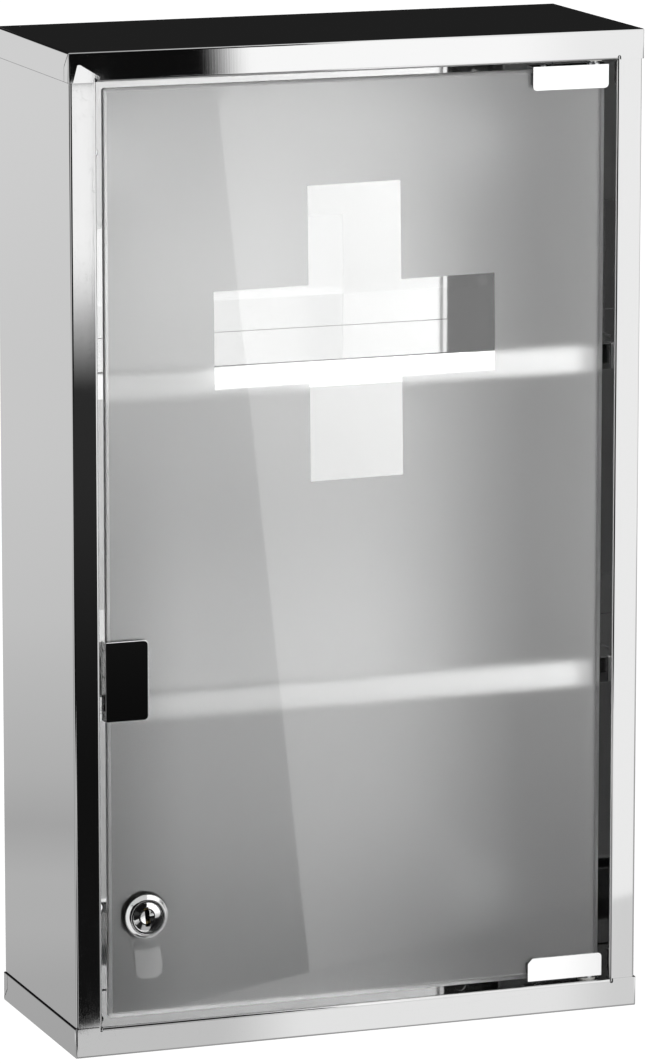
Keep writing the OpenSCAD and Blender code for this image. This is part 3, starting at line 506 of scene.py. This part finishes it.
frosting, t, shader = new_material(
    "frosting", Base_Color=1.0, Transmission_Weight=0.94, IOR=1.45,
    Specular_Tint=(0.2, 0.2, 0.2, 1.0))
vector = t.vector()
x, y, z = t.place()
grit = t.noise(vector, GRIT_SCALE, roughness=0.7)
cloud = t.noise(vector, FROST_CLOUD_SCALE, detail=3.0)
rough_side = t.ramp(y, FROST_MIDDLE_Y - FROST_STEP, FROST_MIDDLE_Y + FROST_STEP, soft=False)
speckle = t.plus(t.product(grit, GRIT_ROUGHNESS), t.product(cloud, CLOUD_ROUGHNESS))
t.feed(t.product(rough_side, t.plus(FROST_ROUGHNESS, speckle)), shader.inputs["Roughness"])
t.feed(t.bump(grit, t.product(rough_side, GRIT_DEPTH)), shader.inputs["Normal"])
# painted shade: the frosting's colour darkens towards the lower left
painted_low_left_shade = t.product(t.ramp(x, *PAINTED_SHADE_X), t.ramp(z, *PAINTED_SHADE_Z, 0.0, PAINTED_SHADE))
t.feed(t.grey(t.minus(t.ramp(grit, *CLOUDED, *FROST_GREY), painted_low_left_shade)), shader.inputs["Base Color"])
print("frosting is rough behind y =", FROST_MIDDLE_Y)

# %% [markdown]
# Every piece of the packed record names the material it is made of, so most pieces find their finish
# by that name. Seven pieces have a finish of their own, for the reasons given above.

# %% Give every node its finish
FINISHES = {
    "polished_steel": steel,
    "chrome_plate": chrome,
    "zinc_plated_steel": zinc,
    "spring_steel": spring_wire,
    "magnet": nickel,
    "clear_glass": glass,
    "frosting": frosting,
    "nylon": nylon,
    "white_plastic": white_plastic,
    "soft_liner": soft_liner,
}
OWN_FINISH = {
    "top_cap": top_steel,
    "bottom_cap": bottom_steel,
    "upper_shelf": shelf_steel,
    "lower_shelf": shelf_steel,
    "lock_plug": plug_chrome,
    "lock_cam": cam_zinc,
    "push_plate": chrome_with_painted_shade,
}
for part in subparts:
    piece = nodes[part["node"]]
    piece.data.materials.clear()
    piece.data.materials.append(OWN_FINISH.get(part["node"], FINISHES[part["material_slot"]]))
print("finishes on", len(subparts), "nodes")

# %% [markdown]
# No real edge is sharp. Sheet is deburred, and cast or turned parts are tumbled before they are
# plated, and each such edge catches a thin line of light. A bevel modifier breaks the edges of the
# metal parts, after a weld that joins the corners of the mesh. A tenth to a third of a millimetre is
# enough: more would make sheet look like plate. The push plate and the clips have many edges inside
# their flat faces, which are dissolved first so that the bevel runs only along the outline.

# %% Broken edges
EDGE_WIDTH = {
    "body_wrap": 0.00012, "top_cap": 0.00012, "bottom_cap": 0.00012,
    "upper_shelf": 0.00012, "lower_shelf": 0.00012,
    "push_plate": 0.00035, "top_hinge_clip": 0.0002, "bottom_hinge_clip": 0.0002,
    "lock_housing": 0.00015, "lock_plug": 0.00008, "lock_cam": 0.0002, "lock_nut": 0.0002,
    "cam_screw": 0.0002, "catch_housing": 0.0002, "catch_magnet": 0.0002,
}
DISSOLVED = ("push_plate", "top_hinge_clip", "bottom_hinge_clip")
WELD_DISTANCE = 0.000002
FLAT_DEG, SHARP_DEG = 0.5, 40.0
for name, width in EDGE_WIDTH.items():
    piece = nodes[name]
    weld = piece.modifiers.new("weld", "WELD")
    weld.merge_threshold = WELD_DISTANCE
    if name in DISSOLVED:
        flat = piece.modifiers.new("flat_faces", "DECIMATE")
        flat.decimate_type = "DISSOLVE"
        flat.angle_limit = math.radians(FLAT_DEG)
    edges = piece.modifiers.new("broken_edges", "BEVEL")
    edges.width = width
    edges.segments = 2
    edges.limit_method = "ANGLE"
    edges.angle_limit = math.radians(SHARP_DEG)
    edges.harden_normals = True
    print(name, "has edges broken by", width * 1000.0, "mm")

# %% [markdown]
# Two small things are easier to model here than in the CAD source: the tips of the wafers in the
# keyway and the threads of the catch's screws. Both start as a primitive, are shaped in edit mode or
# by a modifier, and end with their place written into the mesh and a body to ride on. Those steps
# get names.

# %% Words for new pieces


def clear_selection():
    for thing in bpy.context.selected_objects:
        thing.select_set(False)
    bpy.context.view_layer.objects.active = None


def on_whole_mesh(operator, **values):
    """Runs an edit-mode operator on the whole mesh of the active object."""
    bpy.ops.object.mode_set(mode="EDIT")
    bpy.ops.mesh.select_all(action="SELECT")
    operator(**values)
    bpy.ops.object.mode_set(mode="OBJECT")


def join(pieces):
    """Makes one object of several; it is the active one afterwards."""
    clear_selection()
    for piece in pieces:
        piece.select_set(True)
    bpy.context.view_layer.objects.active = pieces[0]
    bpy.ops.object.join()


def take_active(name, material, body):
    """Names the active object, puts its place into its mesh, and ties it to a body."""
    piece = bpy.context.active_object
    piece.name = name
    bpy.ops.object.transform_apply(location=True, rotation=True, scale=True)
    on_whole_mesh(bpy.ops.mesh.normals_make_consistent, inside=False)
    piece.data.materials.append(material)
    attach(piece, body)


print("words for new pieces: clear_selection, on_whole_mesh, join, take_active")

# %% [markdown]
# Behind the keyway of a cam lock stand thin brass wafers, which a key lifts into line. Each is a plate
# with a slot, pushed up or down by its own spring, so only its tip reaches into the keyway, from
# above or from below in turn. A box with broken edges is enough for a tip. Their number and reach are
# a guess, since the photograph is too coarse to show them. They ride with the lock's core.

# %% Wafers in the keyway
KEY_TILT_DEG = 5.5
WAFER_T, WAFER_W, WAFER_STEP = 0.0005, 0.0023, 0.0011
WAFER_EDGE = 0.00012
WAFER_FIRST_D = 0.0032              # from the plug's face to the first wafer
WAFER_COUNT = 3
WAFER_REACH = (0.0012, 0.0022)      # how far each reaches into the keyway, least and most
KEYWAY_END_UP = 0.0041
tilt = math.radians(-KEY_TILT_DEG)
wafers = []
for number in range(WAFER_COUNT):
    side = 1.0 if number % 2 else -1.0
    reach = rng.uniform(*WAFER_REACH)
    up = side * (KEYWAY_END_UP - reach / 2.0)
    clear_selection()
    bpy.ops.mesh.primitive_cube_add(size=1.0, location=(
        LOCK_X + math.sin(tilt) * up,
        PLUG_FACE_Y + WAFER_FIRST_D + number * WAFER_STEP,
        LOCK_Z + MIDDLE_Z + math.cos(tilt) * up))
    wafer = bpy.context.active_object
    wafer.scale = (WAFER_W, WAFER_T, reach)
    wafer.rotation_euler = (0.0, tilt, 0.0)
    bpy.ops.object.transform_apply(location=True, rotation=True, scale=True)
    on_whole_mesh(bpy.ops.mesh.bevel, offset=WAFER_EDGE, segments=2, affect="EDGES")
    wafers.append(wafer)
join(wafers)
take_active("key_wafers", brass, "lock_core")
print("wafers:", WAFER_COUNT)

# %% [markdown]
# The two screws of the catch come out below the lower shelf, and there their threads show. A thread
# is a small triangle that is carried round and along at once, so it is one profile and a screw
# modifier, which is applied. The turns end where the screw runs to its point. The pitch is a guess.
# The threads ride with the cabinet.

# %% Threads of the catch screws
SCREW_X, SCREW_Y = (-0.13295, -0.10845), -0.07895
SCREW_R = 0.00145
SHELF_UNDER_Z, POINT_FROM_Z = -0.0613, -0.0633   # below the second the screw runs to its point
THREAD_PITCH, THREAD_H, THREAD_STEPS = 0.0005, 0.00022, 24
turns = round((SHELF_UNDER_Z - POINT_FROM_Z) / THREAD_PITCH) - 1
threads = []
for screw_x in SCREW_X:
    clear_selection()
    bpy.ops.mesh.primitive_circle_add(
        vertices=3, radius=THREAD_H, fill_type="NGON", location=(0.0, 0.0, 0.0),
        rotation=(math.radians(90.0), 0.0, 0.0))
    ridge = bpy.context.active_object
    bpy.ops.object.transform_apply(location=True, rotation=True, scale=True)
    for corner in ridge.data.vertices:
        corner.co.x, corner.co.z = corner.co.z + SCREW_R, corner.co.x
    coil = ridge.modifiers.new("thread", "SCREW")
    coil.axis = "Z"
    coil.screw_offset = THREAD_PITCH
    coil.iterations = turns
    coil.steps = coil.render_steps = THREAD_STEPS
    bpy.ops.object.modifier_apply(modifier=coil.name)
    ridge.location = (screw_x, SCREW_Y, POINT_FROM_Z + THREAD_PITCH / 2.0)
    bpy.ops.object.transform_apply(location=True, rotation=False, scale=False)
    threads.append(ridge)
join(threads)
take_active("catch_screw_threads", zinc, "cabinet")
print("threads of", turns, "turns")

# %% [markdown]
# Next the studio. Round the cabinet lies a world of brightness by direction: the floor behind it is
# pale and grows darker towards the wall, the room behind and above is black, which is what turns the
# top of the cabinet black, and overhead hangs a lamp, bright on its right and dimmer on its left. The
# camera itself sees plain white, matt surfaces get one even light, and light that has come through
# glass gets a plainer world of its own, bright in front and dimmer behind.

# %% World
BEHIND = [(-1.0, 0.50), (-0.30, 0.47), (-0.262, 0.51), (-0.2430, 0.62), (-0.2400, 0.48),
          (-0.234, 0.51), (-0.222, 0.63), (-0.197, 0.75), (-0.172, 0.80), (-0.12, 0.87),
          (-0.03, 0.82), (0.03, 0.26), (0.07, 0.016), (1.0, 0.016)]
AHEAD = [(-1.0, 0.40), (-0.35, 0.55), (-0.10, 0.75), (0.10, 0.80), (0.45, 0.70), (1.0, 0.60)]
DARK = 0.016
LEFT_WALL = 0.85
LAMP_LEFT, LAMP_RIGHT = 0.62, 1.25
THROUGH_FRONT, THROUGH_BACK = 1.5, 0.62
STUDIO_LIGHT = 1.33
MATT_LIGHT = 0.74
WORLD_GREY = 0.8
# Where one area gives way to the next, as parts of the direction: across, backwards or upwards.
FROM_BEHIND_TO_AHEAD = (0.25, -0.25)
TO_THE_LEFT, LEFT_WALL_FROM, LEFT_DARK_FROM = (0.05, -0.05), (0.0, -0.15), (-0.45, -0.55)
LAMP_UP, LAMP_FROM, LAMP_MIDDLE = (0.40, 0.55), (0.25, 0.0), (0.26, 0.34)
THROUGH_FROM = (-0.1, 0.15)

world = bpy.data.worlds.new("studio")
scene.world = world
world.use_nodes = True
world.node_tree.nodes.clear()
t = Tree(world.node_tree)
across, backwards, upwards = t.add(
    "ShaderNodeSeparateXYZ", Vector=t.add("ShaderNodeTexCoord").outputs["Generated"]).outputs
rise = t.ramp(upwards, -1.0, 1.0, soft=False)


def by_height(stops):
    """Brightness by how steeply a direction rises, from straight down to straight up."""
    node = t.add("ShaderNodeValToRGB", Fac=rise)
    node.color_ramp.interpolation = "EASE"
    marks = node.color_ramp.elements
    while len(marks) < len(stops):
        marks.new(0.5)
    for mark, (height, level) in zip(marks, stops):
        mark.position = (height + 1.0) / 2.0
        mark.color = (level, level, level, 1.0)
    return t.add("ShaderNodeRGBToBW", Color=node.outputs[0]).outputs[0]


room = t.blend(t.ramp(backwards, *FROM_BEHIND_TO_AHEAD), by_height(BEHIND), by_height(AHEAD))
left = t.ramp(across, *TO_THE_LEFT)
room = t.blend(t.product(left, t.ramp(backwards, *LEFT_WALL_FROM)), room, LEFT_WALL)
room = t.blend(t.product(left, t.ramp(backwards, *LEFT_DARK_FROM)), room, DARK)
overhead = t.product(t.ramp(upwards, *LAMP_UP), t.ramp(backwards, *LAMP_FROM))
room = t.blend(overhead, room, t.ramp(across, *LAMP_MIDDLE, LAMP_LEFT, LAMP_RIGHT))

rays = t.add("ShaderNodeLightPath").outputs
room = t.product(room, STUDIO_LIGHT)
through = t.ramp(backwards, *THROUGH_FROM, THROUGH_FRONT, THROUGH_BACK)
room = t.blend(rays["Is Transmission Ray"], room, through)
room = t.blend(rays["Is Diffuse Ray"], room, MATT_LIGHT)
room = t.blend(rays["Is Camera Ray"], t.product(room, WORLD_GREY), 1.0)
background = t.add("ShaderNodeBackground", Color=(1.0, 1.0, 1.0, 1.0), Strength=room)
t.feed(background.outputs[0], t.add("ShaderNodeOutputWorld").inputs["Surface"])
print("world made of", len(world.node_tree.nodes), "nodes")

# %% [markdown]
# Two upright planes stand in the studio and give light to some kinds of ray only. Each is a plane
# whose corners are put in place, with a material that does nothing but shine.

# %% Words for planes of light


def light_plane(name, x_ends, y, z_ends, unseen_by):
    """An upright plane, hidden from some kinds of ray, and the tree of its empty material."""
    clear_selection()
    bpy.ops.mesh.primitive_plane_add(size=2.0, location=(0.0, 0.0, 0.0))
    plane = bpy.context.active_object
    plane.name = name
    for corner in plane.data.vertices:
        right, high = corner.co.x > 0.0, corner.co.y > 0.0
        corner.co = (x_ends[right], y, z_ends[high])
    for kind in unseen_by:
        setattr(plane, "visible_" + kind, False)
    material = bpy.data.materials.new(name)
    material.use_nodes = True
    material.node_tree.nodes.clear()
    plane.data.materials.append(material)
    return plane, Tree(material.node_tree)


def shine(tree, strength):
    """Makes a material give off light of this strength, and nothing else."""
    glow = tree.add("ShaderNodeEmission", Strength=strength)
    tree.feed(glow.outputs[0], tree.add("ShaderNodeOutputMaterial").inputs["Surface"])


print("words for planes of light: light_plane, shine")

# %% [markdown]
# The front of the cabinet mirrors what stands in front of it. In the photograph that is a white wall
# on the right, a black flag on the left whose slanting edge crosses the glass, a slit of white left
# of the flag that lights the upper part of the left flange, and the floor below them all. One board
# carries the four of them as areas of brightness. Only metal and glass see it; the camera doesn't.
# Light that has come through the glass gets a map of its own from the same board. It is darkest low
# on the left and brightest high on the right, as the frosting is in the photograph.

# %% Board in front of the cabinet
BOARD_Y = -1.5
BOARD_X = (-2.2, 2.4)
BOARD_Z = (-1.3, 1.6)
WALL_LIGHT, WALL_RIGHT_SHARE, WALL_RIGHT_X = 1.55, 0.88, (0.62, 0.70)
FLAG_EDGE_AT_ZERO, FLAG_EDGE_SLOPE = 0.411, -0.107
FLAG_TOP = (0.03, 0.06)             # at this height the flag's edge grows soft and moves right
FLAG_SOFTNESS, FLAG_TOP_SHIFT, FLAG_TOP_SHARE = (0.0013, 0.020), 0.007, 0.16
FLAG_Z, FLAG_LIGHT = (-0.45, -0.18), (0.009, 0.038)
SLIT, SLIT_SOFT = (0.288, 0.3145), (0.004, 0.001)
SLIT_TOP, SLIT_TOP_SOFT, SLIT_FADE = 0.056, 0.002, (-0.175, -0.055)
SLIT_LIGHT = 1.47

board, t = light_plane("studio_board", BOARD_X, BOARD_Y, [z + MIDDLE_Z for z in BOARD_Z],
                       unseen_by=("camera", "diffuse", "shadow"))
x, _, z = t.place()
flag_edge = t.plus(
    FLAG_EDGE_AT_ZERO, t.product(z, FLAG_EDGE_SLOPE), t.ramp(z, *FLAG_TOP, 0.0, FLAG_TOP_SHIFT))
softness = t.ramp(z, *FLAG_TOP, *FLAG_SOFTNESS)
wall = t.ramp(t.math("DIVIDE", t.minus(x, flag_edge), softness), -1.0, 1.0)
wall_level = t.ramp(x, *WALL_RIGHT_X, WALL_LIGHT, WALL_LIGHT * WALL_RIGHT_SHARE)
slit = t.product(
    t.ramp(x, SLIT[1] + SLIT_SOFT[1], SLIT[1] - SLIT_SOFT[1]), t.ramp(x, SLIT[0] - SLIT_SOFT[0], SLIT[0]),
    t.ramp(z, *SLIT_FADE), t.ramp(z, SLIT_TOP + SLIT_TOP_SOFT, SLIT_TOP - SLIT_TOP_SOFT),
)
flag = t.product(t.ramp(z, *FLAG_Z, *FLAG_LIGHT), t.ramp(z, *FLAG_TOP, 1.0, FLAG_TOP_SHARE))
slit_or_flag = t.math("MAXIMUM", t.product(slit, SLIT_LIGHT), flag)
upper = t.math("MAXIMUM", t.product(wall, wall_level), slit_or_flag)
print("board from", BOARD_X[0], "to", BOARD_X[1], "m at y", BOARD_Y)

# %% [markdown]
# The lower part of the board is the floor, whose far edge shows as a slanting line. It is brighter
# in front of the wall than in front of the flag. With the floor the board is complete, and it gives
# one brightness to rays that come from a mirror and the other to rays that come through glass.

# %% The board's floor, and its light for the glass
FLOOR_LINE_AT_ZERO, FLOOR_LINE_SLOPE = -0.683, 0.156
FLOOR_LINE_SOFT = 0.001
FLOOR_STEP_X, FLOOR_STEP = (0.335, 0.325), 0.003    # a small step in the line, below the slit
FLOOR_X, FLOOR_LIGHT = (0.395, 0.475), (0.645, 0.95)
FLOOR_RIGHT_X, FLOOR_RIGHT_SHARE = (0.66, 0.72), 0.80
FLOOR_NEAR_Z, FLOOR_NEAR_SHARE = (-1.25, -0.72), 0.45
THROUGH_LOW, THROUGH_LOW_X = (0.0, 0.35, 0.9), (0.05, 0.35)       # left, right and far right
THROUGH_HIGH, THROUGH_HIGH_X = (0.1, 1.60, 3.4), (-0.2, 0.3)
THROUGH_Z, FAR_RIGHT_X = (-0.65, -0.25), (0.60, 0.75)

floor_line = t.plus(
    FLOOR_LINE_AT_ZERO, t.product(x, FLOOR_LINE_SLOPE), t.ramp(x, *FLOOR_STEP_X, 0.0, FLOOR_STEP))
above = t.ramp(t.minus(z, floor_line), -FLOOR_LINE_SOFT, FLOOR_LINE_SOFT)
floor_level = t.product(
    t.ramp(x, *FLOOR_X, *FLOOR_LIGHT),
    t.ramp(x, *FLOOR_RIGHT_X, 1.0, FLOOR_RIGHT_SHARE),
    t.ramp(z, *FLOOR_NEAR_Z, FLOOR_NEAR_SHARE, 1.0),
)
mirrored = t.blend(above, t.product(floor_level, STUDIO_LIGHT), upper)
far_right = t.ramp(x, *FAR_RIGHT_X)
low, high = (
    t.blend(far_right, t.blend(t.ramp(x, *right_x), levels[0], levels[1]), levels[2])
    for levels, right_x in ((THROUGH_LOW, THROUGH_LOW_X), (THROUGH_HIGH, THROUGH_HIGH_X))
)
through = t.blend(t.ramp(z, *THROUGH_Z), low, high)
shine(t, t.blend(t.add("ShaderNodeLightPath").outputs["Is Transmission Ray"], mirrored, through))
print("the board's floor rises by", FLOOR_LINE_SLOPE, "to the right")

# %% [markdown]
# Behind the cabinet the photographer's background is brightly lit, and a little of it comes through
# the wall holes and glows in the frosting. A small bright plane close behind the back stands
# for it. Only light that has come through glass sees it, so it shows nowhere else. It is dim at the
# lower left, because the photograph shows no glow at that hole.

# %% Lit background behind the wall holes
BACKLIGHT_Y = 0.020
BACKLIGHT_HALF_X, BACKLIGHT_HALF_Z = 0.115, 0.210
BACKLIGHT, BACKLIGHT_LOW_LEFT = 10.0, 1.0
BACKLIGHT_SOFT = (0.02, -0.02)      # the lower left quarter starts between these, across and up

backlight, t = light_plane(
    "studio_backlight", (-BACKLIGHT_HALF_X, BACKLIGHT_HALF_X), BACKLIGHT_Y,
    (-BACKLIGHT_HALF_Z, BACKLIGHT_HALF_Z), unseen_by=("camera", "diffuse", "glossy", "shadow"))
x, _, z = t.place()
low_left = t.product(t.ramp(x, *BACKLIGHT_SOFT), t.ramp(z, *BACKLIGHT_SOFT))
shine(t, t.blend(low_left, BACKLIGHT, BACKLIGHT_LOW_LEFT))
print("backlight", BACKLIGHT_Y, "m behind the back")

# %% [markdown]
# The cabinet hangs well above a pale floor. The floor keeps whatever shadow reaches it, and it glows
# a little so that it ends up as white as the photograph's background.

# %% Floor
FLOOR_Z, FLOOR_SIZE = -1.10, 30.0
FLOOR_TONE, FLOOR_ROUGHNESS, FLOOR_GLOW = 0.92, 0.9, 0.50
clear_selection()
bpy.ops.mesh.primitive_plane_add(size=FLOOR_SIZE, location=(0.0, 0.0, FLOOR_Z))
floor = bpy.context.active_object
floor.name = "floor"
floor.visible_glossy = False
floor.visible_transmission = False
floor_material, *_ = new_material(
    "pale_floor", Base_Color=FLOOR_TONE, Roughness=FLOOR_ROUGHNESS, Specular_IOR_Level=0.0,
    Emission_Color=(1.0, 1.0, 1.0, 1.0), Emission_Strength=FLOOR_GLOW)
floor.data.materials.append(floor_material)
print("floor at", FLOOR_Z)

# %% [markdown]
# Polished faces mirror one another, and light crosses the pane and its frosting several times, so the
# rays are followed further than usual. The colours go to the picture with the standard view, because
# the levels above were compared with the photograph in that view.

# %% Render settings that the looks need
MOST_BOUNCES, MOST_MIRRORED = 32, 16
scene.view_settings.view_transform = "Standard"
scene.cycles.max_bounces = MOST_BOUNCES
scene.cycles.glossy_bounces = MOST_MIRRORED
scene.cycles.transmission_bounces = MOST_BOUNCES
print("rays are followed over", MOST_BOUNCES, "bounces")

# %% [markdown]
